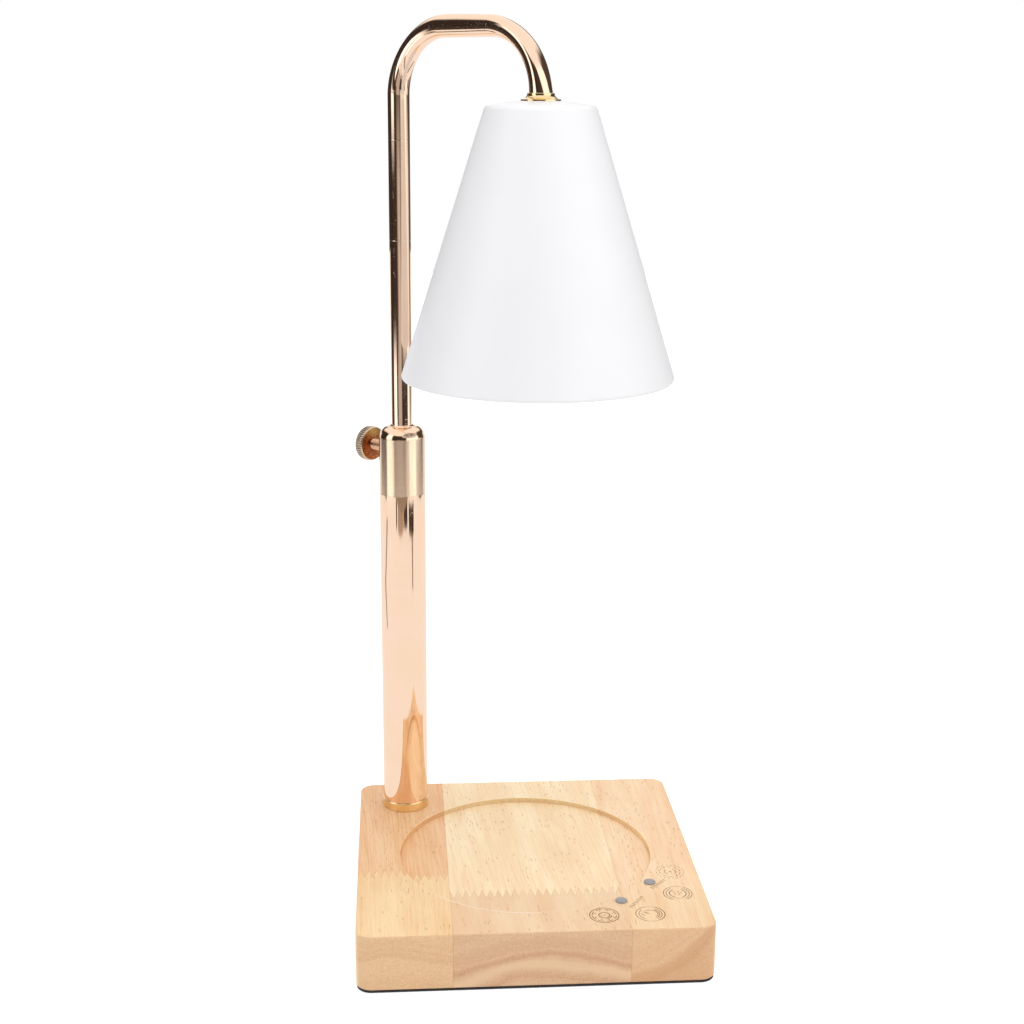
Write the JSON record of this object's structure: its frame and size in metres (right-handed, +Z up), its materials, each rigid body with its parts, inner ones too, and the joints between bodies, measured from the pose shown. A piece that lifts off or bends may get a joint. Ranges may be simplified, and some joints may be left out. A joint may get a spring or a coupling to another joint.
{
  "type": "candle warmer lamp",
  "caption": "Candle warmer table lamp: square wooden base with a round recess, clamped sliding and swivelling bent-tube arm, white conical metal shade over a reflector bulb.",
  "frame": {"origin": "centre of the square base at its underside", "axes": "+Z up, +X to the right along the base's front edge, +Y from the front edge to the back; the column stands at the back left corner"},
  "size_m": [0.15, 0.15, 0.3898],
  "materials": {
    "wood": "finger-jointed pale hardwood, clear satin lacquer",
    "black_pad": "matt black foam rubber",
    "zinc_steel": "zinc plated",
    "raw_steel": "mill finish",
    "circuit_board": "green solder mask",
    "nylon": "natural nylon",
    "black_parts": "moulded",
    "grey_button": "satin grey dome",
    "white_lead": "insulated core",
    "black_rubber": "moulded rubber",
    "polished_brass": "polished",
    "rose_gold": "polished rose gold plating",
    "turned_brass": "fine turned finish with a polished shoulder",
    "knurled_brass": "knurled rim",
    "black_cable": "sheathed two-core flex",
    "white_shade": "satin white powder coat on spun aluminium",
    "white_ceramic": "unglazed",
    "copper_alloy": "spring bronze",
    "silvered_glass": "silvered reflector",
    "clear_glass": "clear"
  },
  "bodies": {
    "base": {"base_block": "wood", "base_pad": "black_pad", "cover_plate": "zinc_steel", "cover_screws": "zinc_steel", "ballast_plate": "raw_steel", "ballast_screws": "zinc_steel", "control_board": "circuit_board", "board_spacers": "nylon", "board_screws": "zinc_steel", "board_components": "black_parts", "switch_bodies": "black_parts", "terminal_block": "nylon", "terminal_screw": "zinc_steel", "lamp_leads": "white_lead", "board_leads": "white_lead", "inlet_grommet": "black_rubber", "column_stud": "zinc_steel", "column_washer": "zinc_steel", "column_nut": "zinc_steel", "foot_flange": "polished_brass", "column_tube": "rose_gold", "clamp_collar": "turned_brass", "slack_cable": "black_cable"},
    "dimmer": {"dimmer_plunger": "black_parts", "dimmer_button": "grey_button"},
    "timer": {"timer_plunger": "black_parts", "timer_button": "grey_button"},
    "screw_tip": {"screw_tip": "nylon"},
    "thumb_screw": {"thumb_screw": "knurled_brass"},
    "guide": {"guide_bush": "nylon"},
    "arm": {"arm_circlip": "zinc_steel", "arm_ferrule": "nylon", "arm_tube": "rose_gold", "arm_cable": "black_cable", "shade_flange": "polished_brass", "shade_nipple": "zinc_steel", "shade_washer": "zinc_steel", "shade_locknut": "zinc_steel", "shade": "white_shade", "holder_bracket": "zinc_steel", "bracket_nut": "zinc_steel", "lampholder": "white_ceramic", "holder_screws": "zinc_steel", "holder_contacts": "copper_alloy"},
    "bulb": {"bulb_neck": "white_ceramic", "bulb_pins": "copper_alloy", "bulb_reflector": "silvered_glass", "bulb_lens": "clear_glass", "bulb_capsule": "clear_glass"}
  },
  "joints": [
    {"name": "height_slide", "type": "slide", "parent": "base", "child": "guide", "axis": [0, 0, 1], "range_m": [-0.12, 0.0035], "deforming": ["slack_cable"]},
    {"name": "arm_swivel", "type": "hinge", "parent": "guide", "child": "arm", "pos_m": [-0.0531, 0.0528, 0.2116], "axis": [0, 0, 1], "range_deg": [-90, 90]},
    {"name": "screw_advance", "type": "slide", "parent": "base", "child": "screw_tip", "axis": [-0.6871, 0.7266, 0], "range_m": [0, 0.0016]},
    {"name": "thumb_turn", "type": "hinge", "parent": "screw_tip", "child": "thumb_screw", "pos_m": [-0.0531, 0.0528, 0.2002], "axis": [-0.6871, 0.7266, 0], "range_deg": [0, 720]},
    {"name": "dimmer_press", "type": "slide", "parent": "base", "child": "dimmer", "axis": [0, 0, -1], "range_m": [0, 0.0006], "stiffness_N_per_m": 3000, "springref_m": -0.0004},
    {"name": "timer_press", "type": "slide", "parent": "base", "child": "timer", "axis": [0, 0, -1], "range_m": [0, 0.0006], "stiffness_N_per_m": 3000, "springref_m": -0.0004},
    {"name": "bulb_twist", "type": "hinge", "parent": "arm", "child": "bulb", "pos_m": [0.00324, -0.00678, 0.3557], "axis": [0, 0, -1], "range_deg": [0, 35]}
  ],
  "couplings": [
    {"joint": "thumb_turn", "follows": "screw_advance", "rad_per_m": 7854}
  ]
}
